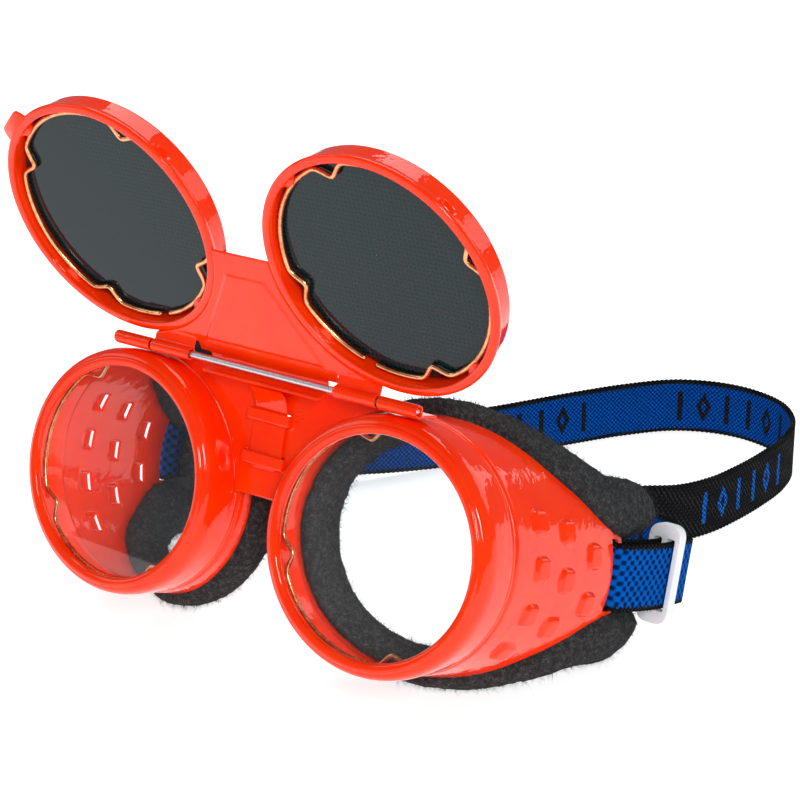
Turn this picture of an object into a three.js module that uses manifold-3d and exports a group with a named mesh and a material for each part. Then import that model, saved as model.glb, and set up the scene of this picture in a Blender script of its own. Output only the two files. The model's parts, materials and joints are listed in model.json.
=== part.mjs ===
// Flip-up welding goggles: pressed steel eye cups on a nose bridge, a hinged front that carries
// two dark filters, felt face seals and an elastic head strap with a slider.
//
// Millimetres, +Z up.  X runs across the face, -Y is the side that faces the welding.
// The goggles are built upright in "cup" axes, whose zero is midway between the two lens centres
// in the plane of the front lips.  They are then leaned back by LEAN, as when held or propped,
// and the whole is moved so that the row's origin is the middle of its footprint.

import * as THREE from 'three';
import { mergeVertices } from 'three/addons/utils/BufferGeometryUtils.js';
import Module from 'manifold-3d';

// ---------------------------------------------------------------- driving dimensions
const LENS_SPACING = 70;        // between the two lens centres
const LENS_R = 25;              // standard 50 mm round lens
const LENS_T = 2;
const FILTER_T = 3;
const OPENING_R = 23.25;        // clear opening of a lens bezel
const BEZEL_R = 27.3;
const BEZEL_DEPTH = 11.5;
const SHEET = 0.7;              // thickness of every steel pressing
const GAP = 0.3;                // air between pieces that touch
const CUP_TOE = 1.9;            // each eye cup looks outwards by this many degrees
const LEAN = 16;                // how far the goggles lean back when held or propped

const SHIELD_FLARE = 1.7;       // how much wider the side shield is at its tongue
const SHIELD_DROP = 4;          // how much lower the tongue's centre lies
const SHIELD_OUT = 1.35;        // how far its centre drifts outwards, so that the tongue runs straight back
const SHIELD_RUN = 40;          // length over which flare, drop and drift build up
const TONGUE_LIFT = 2;          // the tongue's centre line, in degrees above the cup's middle

const HINGE_Y = 1.64;
const HINGE_Z = 29.36;
const KNUCKLE_R = 1.4;
const BORE_R = 1.0;
const ROD_R = 0.72;
const KNUCKLE_END = 40.4;       // outer end of the frame's knuckles
const KNUCKLE_SPLIT = 30.1;     // where a frame knuckle meets a front knuckle
const KNUCKLE_IN = 19.2;        // inner end of the front's knuckles
const OPEN_ANGLE = 145.7;       // the front is raised by this much from closed
const CLOSED_GAP = 0.6;         // between the closed front's rims and the plane of the bezels' lips
const FILTER_CUP_R = 26.6;
const FILTER_RIM_R = 27.4;
const FILTER_CUP_DEPTH = 7.4;

const BRIDGE_Y = 7.8;           // front face of the nose bridge plate
const STRAP_W = 15;
const STRAP_T = 1.3;
const LAYER_PITCH = 3.2;        // between the two strap layers inside the slider
const BAR_DEPTH = 53.4;         // the strap bar at the end of each tongue, along the cup's own axis

const ROUND = 40;               // facets round a lens

const rad = THREE.MathUtils.degToRad;
const V = (x, y, z) => new THREE.Vector3(x, y, z);

// ---------------------------------------------------------------- materials
const material = (settings) => new THREE.MeshStandardMaterial(settings);
const paint = (color, roughness, metalness) => material({ color, roughness, metalness });
const ENAMEL = paint(0xf03008, 0.22, 0.1);
const STEEL = paint(0xb8bcc0, 0.3, 1.0);
const COPPER = paint(0xc98452, 0.3, 1.0);
const FELT = paint(0x26272a, 1.0, 0.0);
const CLEAR = material({ color: 0xdfe9ea, roughness: 0.05, transparent: true, opacity: 0.3 });
const DARK = paint(0x26363a, 0.1, 0.0);
const WEBBING = paint(0x1c4fae, 0.85, 0.0);
const WHITE = paint(0xf2f3f5, 0.4, 0.0);

// ---------------------------------------------------------------- solid helpers
const wasm = await Module();
wasm.setup();

function toSolid(geometry) {
  const bare = geometry.clone();
  bare.deleteAttribute('normal');
  bare.deleteAttribute('uv');
  const merged = mergeVertices(bare, 1e-4);
  return new wasm.Manifold(new wasm.Mesh({
    numProp: 3,
    vertProperties: new Float32Array(merged.attributes.position.array),
    triVerts: new Uint32Array(merged.index.array),
  }));
}

function toGeometry(solid) {
  const mesh = solid.getMesh();
  const geometry = new THREE.BufferGeometry();
  geometry.setAttribute('position', new THREE.BufferAttribute(new Float32Array(mesh.vertProperties), 3));
  geometry.setIndex(new THREE.BufferAttribute(new Uint32Array(mesh.triVerts), 1));
  geometry.computeVertexNormals();
  return geometry;
}

// Skins rings of points: each section is a loop, and a closed loft joins its last section to its first.
function loft(sections, closed) {
  const count = sections[0].length;
  const points = sections.flat();
  const index = [];
  const spans = closed ? sections.length : sections.length - 1;
  for (let s = 0; s < spans; s += 1) {
    const a = s * count;
    const b = ((s + 1) % sections.length) * count;
    for (let k = 0; k < count; k += 1) {
      const n = (k + 1) % count;
      index.push(a + k, a + n, b + n, a + k, b + n, b + k);
    }
  }
  if (!closed) {
    const last = (sections.length - 1) * count;
    for (let k = 1; k < count - 1; k += 1) index.push(0, k + 1, k, last, last + k, last + k + 1);
  }
  let volume = 0;
  for (let i = 0; i < index.length; i += 3) {
    const [p, q, r] = [points[index[i]], points[index[i + 1]], points[index[i + 2]]];
    volume += p.dot(q.clone().cross(r));
  }
  if (volume < 0) index.reverse();
  const geometry = new THREE.BufferGeometry().setFromPoints(points);
  geometry.setIndex(index);
  geometry.computeVertexNormals();
  return geometry;
}

// Turns a closed [radius, y] profile about the cup's axis, which is Y.
function revolve(profile, segments = ROUND) {
  let area = 0;
  profile.forEach(([r, y], i) => {
    const [nr, ny] = profile[(i + 1) % profile.length];
    area += r * ny - nr * y;
  });
  const ordered = area > 0 ? profile : [...profile].reverse();
  const loop = [...ordered, ordered[0]].map(([r, y]) => new THREE.Vector2(r, y));
  return new THREE.LatheGeometry(loop, segments);
}

function disc(radius, front, back, segments = ROUND) {
  const geometry = new THREE.CylinderGeometry(radius, radius, back - front, segments);
  return geometry.translate(0, (front + back) / 2, 0);
}

function box(x0, x1, y0, y1, z0, z1) {
  const block = new THREE.BoxGeometry(x1 - x0, y1 - y0, z1 - z0);
  return block.translate((x0 + x1) / 2, (y0 + y1) / 2, (z0 + z1) / 2);
}

function tubeX(radius, x0, x1, segments = 20) {
  const geometry = new THREE.CylinderGeometry(radius, radius, x1 - x0, segments).rotateZ(Math.PI / 2);
  return geometry.translate((x0 + x1) / 2, HINGE_Y, HINGE_Z);
}

// Sweeps a flat outline, which may be hollow-sided, straight from w0 to w1.
// The place function turns (u, v, w) into a point.
function prism(outline, place, w0, w1) {
  const flat = outline.map(([u, v]) => new THREE.Vector2(u, v));
  const faces = THREE.ShapeUtils.triangulateShape(flat, []);
  const turn = THREE.ShapeUtils.area(faces[0].map((k) => flat[k])) * THREE.ShapeUtils.area(flat);
  const count = outline.length;
  const index = [];
  for (const [a, b, c] of faces) {
    const [p, q, r] = turn > 0 ? [a, b, c] : [a, c, b];
    index.push(p, q, r, count + p, count + r, count + q);
  }
  for (let k = 0; k < count; k += 1) {
    const n = (k + 1) % count;
    index.push(n, k, count + k, n, count + k, count + n);
  }
  const points = [w0, w1].flatMap((w) => outline.map(([u, v]) => place(u, v, w)));
  const geometry = new THREE.BufferGeometry().setFromPoints(points);
  const [p, q, r] = index.slice(0, 3).map((k) => points[k]);
  const facing = V(0, 0, 0).crossVectors(q.clone().sub(p), r.clone().sub(p));
  const outward = facing.dot(points[0].clone().sub(points[count])) > 0;
  geometry.setIndex(outward ? index : index.reverse());
  return toSolid(geometry);
}

const acrossFace = (outline, y0, y1) => prism(outline, (u, v, w) => V(u, w, v), y0, y1);
const alongRod = (outline, x0, x1) => prism(outline, (u, v, w) => V(w, u, v), x0, x1);

function mesh(name, geometry, material) {
  const piece = new THREE.Mesh(geometry, material);
  piece.name = name;
  return piece;
}

// ---------------------------------------------------------------- eye cup
// Depth of the shield's rear edge at an angle from the tongue's centre line, in degrees.
const EDGE = new THREE.CatmullRomCurve3([
  [0, 52.3], [14, 52.3], [18.5, 51], [23, 46.9], [33, 40.5], [45, 33.6], [59, 29], [77, 24.6],
  [100, 20.5], [135, 16.8], [180, 15.4],
].map(([angle, depth]) => V(angle, depth, 0)), false, 'centripetal').getPoints(120);

function edgeDepth(angle) {
  const a = Math.abs(angle);
  const i = Math.max(1, EDGE.findIndex((point) => point.x >= a));
  const [p, q] = [EDGE[i - 1], EDGE[i]];
  return p.y + (q.y - p.y) * THREE.MathUtils.clamp((a - p.x) / (q.x - p.x), 0, 1);
}

// A point of the right-hand shield: depth along Y, angle about the axis, and distance off its outer skin.
function shieldPoint(y, angle, off) {
  const grown = THREE.MathUtils.clamp((y - BEZEL_DEPTH) / SHIELD_RUN, 0, 1.3);
  const r = BEZEL_R + SHIELD_FLARE * grown + off;
  const a = rad(angle + TONGUE_LIFT);
  return V(r * Math.cos(a) + SHIELD_OUT * grown, y, r * Math.sin(a) - SHIELD_DROP * grown);
}

function shieldNormal(angle) {
  const a = rad(angle + TONGUE_LIFT);
  return V(Math.cos(a), 0, Math.sin(a));
}

// Vents stand in three rows that narrow towards the tongue.
const VENT_ROWS = [
  { y: 21.8, angles: [-40, -19.5, 1.5, 21.5] },
  { y: 32, angles: [-25, -3, 17.5] },
  { y: 42.2, angles: [-13, 8] },
];
const VENT_SIZE = 5;
const VENT_RISE = 1.2;

// A wedge over the shield: flush at its front and raised at its rear, grown by a margin on all sides.
function ventWedge(y, angle, half, low, front, rear, stretch) {
  const across = half / (BEZEL_R * Math.PI / 180);
  const corner = (side, dy, off) => shieldPoint(y + dy, angle + side * across, off);
  const ring = (dy, top) => [
    corner(-1, dy, low), corner(1, dy, low), corner(1, dy, top), corner(-1, dy, top),
  ];
  return toSolid(loft([ring(-half, front), ring(half + stretch, rear)], false));
}

function eyeCup() {
  const neckOut = BEZEL_R - SHEET - 2 * GAP - 0.1;
  const neckIn = neckOut - SHEET;
  const steps = 5;
  const sections = [];
  for (let i = 0; i < 45; i += 1) {
    const angle = i * 8 - 180;
    const a = rad(angle + TONGUE_LIFT);
    const turn = (r, y) => V(r * Math.cos(a), y, r * Math.sin(a));
    const rear = edgeDepth(angle);
    const start = BEZEL_DEPTH + GAP;
    const outer = [turn(neckOut, 2.8), turn(neckOut, start)];
    const inner = [turn(neckIn, 2.8), turn(neckIn, start + SHEET)];
    for (let k = 0; k <= steps; k += 1) {
      const t = k / steps;
      outer.push(shieldPoint(start + (rear - start) * t, angle, 0));
      if (k > 0) inner.push(shieldPoint(start + SHEET + (rear - start - SHEET) * t, angle, -SHEET));
    }
    sections.push([...outer, ...inner.reverse()]);
  }
  let cup = toSolid(loft(sections, true));
  for (const row of VENT_ROWS) {
    for (const angle of row.angles) {
      const half = VENT_SIZE / 2;
      cup = cup.add(ventWedge(row.y, angle, half, -0.4, 0.1, VENT_RISE, 0));
      cup = cup.subtract(ventWedge(row.y, angle, half - 0.55, -1.4, -0.45, VENT_RISE - 0.5, 2));
    }
  }
  // The tongue ends in a slot and the bar that the strap turns round.
  const legOut = STRAP_W / 2 + 1.6;
  const legIn = STRAP_W / 2 + 0.6;
  const across = (z) => z / ((BEZEL_R + SHIELD_FLARE) * Math.PI / 180);
  const lug = (half, y0, y1, low, top) => {
    const ring = (y) => {
      const points = [];
      for (let k = -3; k <= 3; k += 1) points.push(shieldPoint(y, across(half) * k / 3, low));
      for (let k = 3; k >= -3; k -= 1) points.push(shieldPoint(y, across(half) * k / 3, top));
      return points;
    };
    return toSolid(loft([ring(y0), ring(y1)], false));
  };
  cup = cup.add(lug(legOut, 49, BAR_DEPTH + 0.7, -SHEET, 0));
  return cup.subtract(lug(legIn, BAR_DEPTH - 3.2, BAR_DEPTH - 0.7, -3, 2));
}

// ---------------------------------------------------------------- lens bezel, lenses and filters
function lensBezel() {
  const inner = BEZEL_R - SHEET;
  return revolve([
    [OPENING_R, 1.2], [24.2, 0.15], [25.4, 0], [26.6, 0.8], [BEZEL_R, 2.9], [BEZEL_R, BEZEL_DEPTH],
    [inner, BEZEL_DEPTH], [inner, 2.4], [23.5, 2.1],
  ]);
}

const LENS_FRONT = 2.4;

function filterCup(withTab) {
  const wall = FILTER_CUP_R - 0.8;
  const rim = -CLOSED_GAP;
  const front = rim - FILTER_CUP_DEPTH;
  let cup = toSolid(revolve([
    [wall, rim], [27.1, rim], [FILTER_RIM_R, rim - 0.6], [FILTER_RIM_R, rim - 1.5], [FILTER_CUP_R, rim - 2.2],
    [FILTER_CUP_R, front + 2.0], [25.7, front + 0.5], [24.6, front], [22.8, front],
    [22.8, front + 0.8], [wall, front + 0.8],
  ]));
  // Four dimples are punched in behind the rim to hold the retaining wire.
  for (const angle of [45, 135, 225, 315]) {
    const dimple = new THREE.SphereGeometry(1, 8, 6).scale(0.9, 0.7, 1.9).translate(wall + 0.1, rim - 1.1, 0);
    cup = cup.add(toSolid(dimple.rotateY(-rad(angle))));
  }
  if (withTab) {
    // The lifting tab stands out of the rim, low on the outer side when the front is closed.
    const tab = box(26.9, 29.6, rim - 0.8, rim, -4.4, 4.4).rotateY(rad(135));
    cup = cup.add(toSolid(tab));
  }
  return cup;
}

// An open ring of spring wire with four kinks that point inwards.
function retainingWire(ringR, kinkDepth, wireR, y, firstKink, gapAngle) {
  const points = [];
  const kinkHalf = 8;
  const stations = 88;
  for (let i = 0; i <= stations; i += 1) {
    const angle = gapAngle + 4 + i * (352 / stations);
    const nearest = Math.abs((((angle - firstKink) % 90) + 135) % 90 - 45);
    const kink = Math.max(0, 1 - nearest / kinkHalf);
    const r = ringR - kinkDepth * kink;
    points.push(V(r * Math.cos(rad(angle)), y, r * Math.sin(rad(angle))));
  }
  const path = new THREE.CatmullRomCurve3(points);
  const section = new THREE.Shape();
  for (let k = 0; k < 5; k += 1) {
    const a = k * Math.PI * 0.4;
    const corner = [wireR * Math.cos(a), wireR * Math.sin(a)];
    if (k === 0) section.moveTo(...corner);
    else section.lineTo(...corner);
  }
  return new THREE.ExtrudeGeometry(section, { steps: 66, extrudePath: path, bevelEnabled: false });
}

// ---------------------------------------------------------------- felt face seal
// Across the band: t runs away from the steel's edge and n stands off the shield's outer skin.
const SEAL_SECTION = [
  [-2, -1.15], [-2, -4.2], [1.4, -5.7], [7.4, -5.6], [10.5, -2.0], [9.6, 1.9], [6, 3.2],
  [1.6, 2.7], [0.45, -1.15],
];

// Height above or below the strap's middle at which the felt comes out from under it, and is fully out.
const TUCK_FROM = 9.3;
const TUCK_TO = 11.3;
const BULGE = 7;                // how much further back the felt reaches just above and below the strap

function faceSeal() {
  const strapZ = shieldPoint(BAR_DEPTH, 0, -SHEET / 2).z;
  const angles = [];
  for (let angle = -176; angle <= 176; angle += Math.abs(angle) < 32 ? 4 : 8) angles.push(angle);
  const sections = angles.map((angle) => {
    const base = shieldPoint(edgeDepth(angle), angle, 0);
    const ahead = shieldPoint(edgeDepth(angle + 2.5), angle + 2.5, 0);
    const behind = shieldPoint(edgeDepth(angle - 2.5), angle - 2.5, 0);
    const normal = shieldNormal(angle);
    const along = ahead.sub(behind).normalize();
    const away = V(0, 0, 0).crossVectors(normal, along).normalize();
    if (away.y < 0) away.negate();
    return SEAL_SECTION.map(([t, n]) => {
      // Under the strap the felt lies inside the steel, and beside it the felt stands proud.
      const point = base.clone().addScaledVector(away, t);
      const reach = Math.abs(angle) < 60 ? Math.abs(point.z - strapZ) : STRAP_W * 2;
      const tucked = 1 - THREE.MathUtils.smoothstep(reach, TUCK_FROM, TUCK_TO);
      const rise = THREE.MathUtils.smoothstep(reach, 8, 10);
      const fall = 1 - THREE.MathUtils.smoothstep(reach, 11, 22);
      const bulge = BULGE * rise * fall * THREE.MathUtils.smoothstep(t, 1, 10);
      point.addScaledVector(away, bulge);
      const low = -4.2 + 0.6 * (n - 3.2);
      return point.addScaledVector(normal, THREE.MathUtils.lerp(n, low, tucked));
    });
  });
  return loft(sections, true);
}

// ---------------------------------------------------------------- nose bridge, rod and detent spring
// The plate between the cups narrows downwards, because both bezels cut into it.
function betweenCups(solid, radius, toe, y0, y1) {
  let cut = solid;
  for (const side of [-1, 1]) {
    const round = disc(radius, y0 - 1, y1 + 1, 72).rotateZ(side * rad(toe));
    round.translate(side * LENS_SPACING / 2, 0, 0);
    cut = cut.subtract(toSolid(round));
  }
  return cut;
}

const SHELF_Z = 27.8;
const BANDS = [[8.9, 11.5], [18.3, 20.8]];
const SPRING_HALF = 4.3;

function noseBridge() {
  const back = BRIDGE_Y + SHEET;
  const top = SHELF_Z + SHEET;
  let bridge = acrossFace([[-30, 2], [30, 2], [30, top], [-30, top]], BRIDGE_Y, back);
  bridge = bridge.add(toSolid(box(-30.05, 30.05, HINGE_Y + 3.3, back, SHELF_Z, top)));
  for (const side of [-1, 1]) {
    const [x0, x1] = side > 0 ? [KNUCKLE_SPLIT + GAP, KNUCKLE_END] : [-KNUCKLE_END, -KNUCKLE_SPLIT - GAP];
    bridge = bridge.add(toSolid(box(x0, x1, HINGE_Y, back, SHELF_Z, top)));
    const [low, high] = [Math.min(x0, side * 29), Math.max(x1, side * 29)];
    bridge = bridge.add(toSolid(box(low, high, HINGE_Y + 3.3, back, SHELF_Z, top)));
    bridge = bridge.add(toSolid(tubeX(KNUCKLE_R, x0, x1)));
  }
  bridge = betweenCups(bridge, BEZEL_R + GAP, CUP_TOE, 0, BRIDGE_Y + SHEET);
  // Two lanced bands stand forward of the plate and hold the spring.
  for (const [z0, z1] of BANDS) {
    bridge = bridge.subtract(toSolid(box(-4.9, 4.9, BRIDGE_Y - 1, back + 1, z0, z1)));
    bridge = bridge.add(toSolid(box(-5.7, 5.7, BRIDGE_Y - 1.75, BRIDGE_Y + 0.35, z0, z1)));
    bridge = bridge.subtract(toSolid(box(-4.9, 4.9, BRIDGE_Y - 1.15, back + 1, z0 - 0.01, z1 + 0.01)));
  }
  return bridge.subtract(toSolid(tubeX(BORE_R, -KNUCKLE_END - 1, KNUCKLE_END + 1)));
}

function detentSpring() {
  const side = new THREE.CatmullRomCurve3([
    V(0, 7.25, 8.2), V(0, 7.25, 12), V(0, 7.25, 17), V(0, 7.2, 20.4),
    V(0, 6.5, 22.8), V(0, 5.2, 24.7), V(0, 3.6, 25.75),
  ]);
  const sections = side.getSpacedPoints(16).map((point, i) => {
    const tangent = side.getTangentAt(i / 16);
    const normal = V(0, -tangent.z, tangent.y).multiplyScalar(0.2);
    const half = i === 0 ? SPRING_HALF - 1.2 : SPRING_HALF;
    const corner = (x, n) => V(x, point.y + n * normal.y, point.z + n * normal.z);
    return [corner(-half, -1), corner(half, -1), corner(half, 1), corner(-half, 1)];
  });
  return loft(sections, false);
}

// ---------------------------------------------------------------- hinged front
// Drawn closed: the plate lies just in front of the bezels' lips.
function flipPlate() {
  const [y0, y1] = [-CLOSED_GAP - SHEET, -CLOSED_GAP];
  const notch = KNUCKLE_IN - 0.8;
  let front = acrossFace([
    [-30, 1.7], [30, 1.7], [30, 27.2], [notch, 27.2],
    [notch, HINGE_Z], [-notch, HINGE_Z], [-notch, 27.2], [-30, 27.2],
  ], y0, y1);
  // A raised panel stiffens the plate.
  front = front.add(acrossFace([[-5, 7.3], [5, 7.3], [15.4, 25.4], [-15.4, 25.4]], y1 - 0.1, y1 + 0.3));
  // The tongue curls round the rod and ends in the lip that the spring presses on.
  const outerR = HINGE_Y - y0;
  const innerR = HINGE_Y - y1;
  const arc = (r) => Array.from({ length: 13 }, (_, k) => {
    const a = rad(180 - k * 11);
    return [HINGE_Y + r * Math.cos(a), HINGE_Z + r * Math.sin(a)];
  });
  const lipHalf = 15.6;
  front = front.add(alongRod([...arc(outerR), ...arc(innerR).reverse()], -lipHalf, lipHalf));
  for (const side of [-1, 1]) {
    const [x0, x1] = side > 0 ? [KNUCKLE_IN, KNUCKLE_SPLIT] : [-KNUCKLE_SPLIT, -KNUCKLE_IN];
    front = front.add(toSolid(tubeX(KNUCKLE_R, x0, x1)));
    // A joggle joins each knuckle to the plate.
    const joggle = [[y0, 26.4], [y0, 27.1], [HINGE_Y - 1.3, 28.9], [HINGE_Y - 0.7, 28.6], [y1, 26.4]];
    front = front.add(alongRod(joggle, x0, x1));
  }
  front = betweenCups(front, FILTER_RIM_R + GAP, 0, y0 - 1, 0.2);
  return front.subtract(toSolid(tubeX(BORE_R, -KNUCKLE_END, KNUCKLE_END)));
}

// ---------------------------------------------------------------- strap and slider
// The strap's route is in table axes: X, Y and Z of its middle, and how far its width still
// leans with the goggles.
const lean = rad(LEAN);
const onTable = (x, y, z) => V(x, y, z).applyAxisAngle(V(1, 0, 0), -lean);
const bar = shieldPoint(BAR_DEPTH, 0, -SHEET / 2).applyAxisAngle(V(0, 0, 1), rad(CUP_TOE));
const BAR_X = bar.x + LENS_SPACING / 2;
const STRAP_Z = bar.z;          // the strap's middle height on the tongue, in cup axes
const REST_Z = -31.9;           // its middle height where its lower edge lies on the table
const SLIDER_Y = 70;

const beside = (side, x, y) => {
  const p = onTable(side * x, y, STRAP_Z);
  return [p.x, p.y, p.z, 1];
};

// The loop round a bar, from the outer layer to the inner one, drawn for one side.
function barLoop(side, outerFirst) {
  const turnR = 2.4;
  const [x, y] = [BAR_X - 0.6, bar.y + 0.5];
  const points = [];
  for (let k = 0; k <= 6; k += 1) {
    const a = rad(outerFirst ? -30 * k : -180 + 30 * k);
    points.push(beside(side, x + turnR * Math.cos(a), y + turnR * Math.sin(a)));
  }
  return points;
}

const ROUTE = [
  beside(1, 66.4, 80.5), beside(1, 66.9, 75), beside(1, 67.4, SLIDER_Y),
  beside(1, 67.1, 64), beside(1, 66.1, 58.5),
  ...barLoop(1, true),
  beside(1, 61.8, 58.5), beside(1, 63.6, 64), beside(1, 64.2, SLIDER_Y),
  beside(1, 63.72, 75), beside(1, 63.2, 80.5),
  [60.8, 82.5, -27.2, 0.7], [55.8, 89, -28, 0.4], [48, 92.4, -28.4, 0.2], [40.5, 94.4, -28.8, 0.1],
  [35, 97.8, -29.3, 0], [33.8, 103.2, -29.8, 0], [37.6, 108.6, -30.5, 0], [42.8, 115.8, -31.4, 0],
  [46.4, 125.5, REST_Z, 0], [48.4, 137, REST_Z, 0], [49.2, 149, REST_Z, 0], [48.8, 161, REST_Z, 0],
  [45.4, 173, REST_Z, 0], [37, 182.8, REST_Z, 0], [26, 186.8, REST_Z, 0], [15.6, 186.2, REST_Z, 0],
  [5.4, 181.2, REST_Z, 0], [-3.7, 170.4, REST_Z, 0], [-12.4, 156, REST_Z, 0], [-21, 140, REST_Z, 0],
  [-29.5, 125, REST_Z, 0], [-38.6, 110.5, -31, 0.1], [-48, 97, -29.4, 0.3],
  [-56, 85, -27.8, 0.6], [-60.9, 75.5, -25.6, 0.9],
  beside(-1, 62.5, 70), beside(-1, 62.4, 64), beside(-1, 61.4, 58.8),
  ...barLoop(-1, false),
  beside(-1, 65.2, 58.8), beside(-1, 64.9, 64), beside(-1, 64.6, 71),
];

function strap() {
  const path = new THREE.CatmullRomCurve3(ROUTE.map(([x, y, z]) => V(x, y, z)), false, 'centripetal');
  const perSpan = 2;
  const spans = ROUTE.length - 1;
  const sections = [];
  for (let i = 0; i <= spans * perSpan; i += 1) {
    const t = i / (spans * perSpan);
    const span = Math.min(spans - 1, Math.floor(i / perSpan));
    const blend = i / perSpan - span;
    const leaned = THREE.MathUtils.lerp(ROUTE[span][3], ROUTE[span + 1][3], blend) * lean;
    const middle = path.getPoint(t);
    const tangent = path.getTangent(t);
    const up = V(0, Math.sin(leaned), Math.cos(leaned));
    up.addScaledVector(tangent, -up.dot(tangent)).normalize();
    const normal = V(0, 0, 0).crossVectors(tangent, up);
    up.multiplyScalar(STRAP_W / 2);
    normal.multiplyScalar(STRAP_T / 2);
    const corner = (u, n) => middle.clone().addScaledVector(up, u).addScaledVector(normal, n);
    sections.push([corner(-1, -1), corner(1, -1), corner(1, 1), corner(-1, 1)]);
  }
  return loft(sections, false);
}

// A three-bar slider: a rounded frame with one slot for each strap layer.  The strap runs through it along Y.
function slider() {
  const [halfT, halfH, halfL, cornerR] = [3.8, 11.2, 1.5, 3.1];
  const [slotT, slotH] = [2.0, STRAP_W / 2 + 0.6];
  const outline = [];
  for (const [sx, sz, from] of [[1, 1, 0], [-1, 1, 90], [-1, -1, 180], [1, -1, 270]]) {
    for (let a = from; a <= from + 90; a += 18) {
      const [centreX, centreZ] = [sx * (halfT - cornerR), sz * (halfH - cornerR)];
      outline.push([centreX + cornerR * Math.cos(rad(a)), centreZ + cornerR * Math.sin(rad(a))]);
    }
  }
  let frame = acrossFace(outline, -halfL, halfL);
  for (const side of [-1, 1]) {
    const middle = side * LAYER_PITCH / 2;
    const slot = box(middle - slotT / 2, middle + slotT / 2, -halfL - 1, halfL + 1, -slotH, slotH);
    frame = frame.subtract(toSolid(slot));
  }
  return toGeometry(frame);
}

// ---------------------------------------------------------------- assembly
const cups = new THREE.Group();
for (const side of [-1, 1]) {
  const tag = side < 0 ? 'left' : 'right';
  const seat = new THREE.Group();
  seat.position.x = side * LENS_SPACING / 2;
  seat.rotation.z = side * rad(CUP_TOE);
  // Each cup is drawn for the right-hand side; the left-hand one is its mirror image.
  const handed = (solid) => toGeometry(side < 0 ? solid.mirror([1, 0, 0]) : solid);
  seat.add(mesh(`${tag}_eye_cup`, handed(eyeCup()), ENAMEL));
  seat.add(mesh(`${tag}_lens_bezel`, lensBezel(), ENAMEL));
  seat.add(mesh(`${tag}_clear_lens`, disc(LENS_R, LENS_FRONT, LENS_FRONT + LENS_T), CLEAR));
  const wireY = LENS_FRONT + LENS_T + GAP + 0.45;
  const [firstKink, gapAt] = side < 0 ? [31, 60] : [17, 330];
  seat.add(mesh(`${tag}_lens_wire`, retainingWire(24.35, 2.4, 0.45, wireY, firstKink, gapAt), COPPER));
  seat.add(mesh(`${tag}_face_seal`, handed(toSolid(faceSeal())), FELT));
  cups.add(seat);
}
cups.add(mesh('nose_bridge', toGeometry(noseBridge()), ENAMEL));
cups.add(mesh('detent_spring', detentSpring(), ENAMEL));
cups.add(mesh('hinge_rod', tubeX(ROD_R, -KNUCKLE_END + 0.2, KNUCKLE_END - 0.2, 16), STEEL));

// The front turns about the rod, so its group's zero is the rod's axis.
const front = new THREE.Group();
front.position.set(0, HINGE_Y, HINGE_Z);
front.rotation.x = -rad(OPEN_ANGLE);
const closed = new THREE.Group();
closed.position.set(0, -HINGE_Y, -HINGE_Z);
front.add(closed);
closed.add(mesh('flip_plate', toGeometry(flipPlate()), ENAMEL));
for (const side of [-1, 1]) {
  const tag = side < 0 ? 'left' : 'right';
  const seat = new THREE.Group();
  seat.position.x = side * LENS_SPACING / 2;
  const filterBack = -CLOSED_GAP - FILTER_CUP_DEPTH + 0.8 + GAP + FILTER_T;
  seat.add(mesh(`${tag}_filter_cup`, toGeometry(filterCup(side < 0)), ENAMEL));
  seat.add(mesh(`${tag}_filter`, disc(LENS_R, filterBack - FILTER_T, filterBack), DARK));
  const firstKink = side < 0 ? 23 : -19;
  const gapAt = side < 0 ? 75 : 110;
  const wire = retainingWire(24.8, 2.9, 0.5, filterBack + GAP + 0.5, firstKink, gapAt);
  seat.add(mesh(`${tag}_filter_wire`, wire, COPPER));
  closed.add(seat);
}
cups.add(front);
cups.rotation.x = -lean;

const sliderSeat = new THREE.Group();
const sliderAt = onTable((67.4 + 64.2) / 2, SLIDER_Y, STRAP_Z);
sliderSeat.position.copy(sliderAt);
sliderSeat.rotation.x = -lean;
sliderSeat.add(mesh('strap_slider', slider(), WHITE));

const goggles = new THREE.Group();
goggles.add(cups);
goggles.add(mesh('head_strap', strap(), WEBBING));
goggles.add(sliderSeat);

// The origin is the middle of the footprint, on the table.
goggles.updateMatrixWorld(true);
const bounds = new THREE.Box3().setFromObject(goggles, true);
const centre = bounds.getCenter(V(0, 0, 0));
goggles.position.set(-centre.x, -centre.y, -bounds.min.z);

export default goggles;
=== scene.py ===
"""The looks of the flip-up welding goggles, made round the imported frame.

Every piece is drawn in millimetres in the same "cup" axes as the CAD part: zero is midway between
the two lens centres in the plane of the front lips, -Y is forward and +Z is up.  A placing matrix
then turns it into the row frame, in metres.
"""
import json
import math

import bmesh
import bpy
import numpy as np
from mathutils import Matrix, Vector, noise


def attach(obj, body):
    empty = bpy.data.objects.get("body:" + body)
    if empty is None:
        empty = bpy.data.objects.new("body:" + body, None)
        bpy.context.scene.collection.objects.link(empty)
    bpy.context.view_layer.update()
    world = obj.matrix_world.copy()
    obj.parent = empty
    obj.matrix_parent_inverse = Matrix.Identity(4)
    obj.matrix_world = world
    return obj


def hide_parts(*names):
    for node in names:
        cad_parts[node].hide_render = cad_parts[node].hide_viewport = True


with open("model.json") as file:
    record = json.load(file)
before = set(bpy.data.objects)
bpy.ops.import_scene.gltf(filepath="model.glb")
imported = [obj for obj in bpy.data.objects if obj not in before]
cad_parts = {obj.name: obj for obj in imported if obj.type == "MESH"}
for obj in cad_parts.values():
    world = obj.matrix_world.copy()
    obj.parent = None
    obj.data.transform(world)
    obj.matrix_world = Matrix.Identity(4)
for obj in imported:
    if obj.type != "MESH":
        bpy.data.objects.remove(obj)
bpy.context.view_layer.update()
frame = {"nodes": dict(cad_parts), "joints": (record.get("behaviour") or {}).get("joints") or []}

# ---------------------------------------------------------------- driving dimensions, in millimetres
LENS_SPACING = 70
LENS_R = 25
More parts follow.
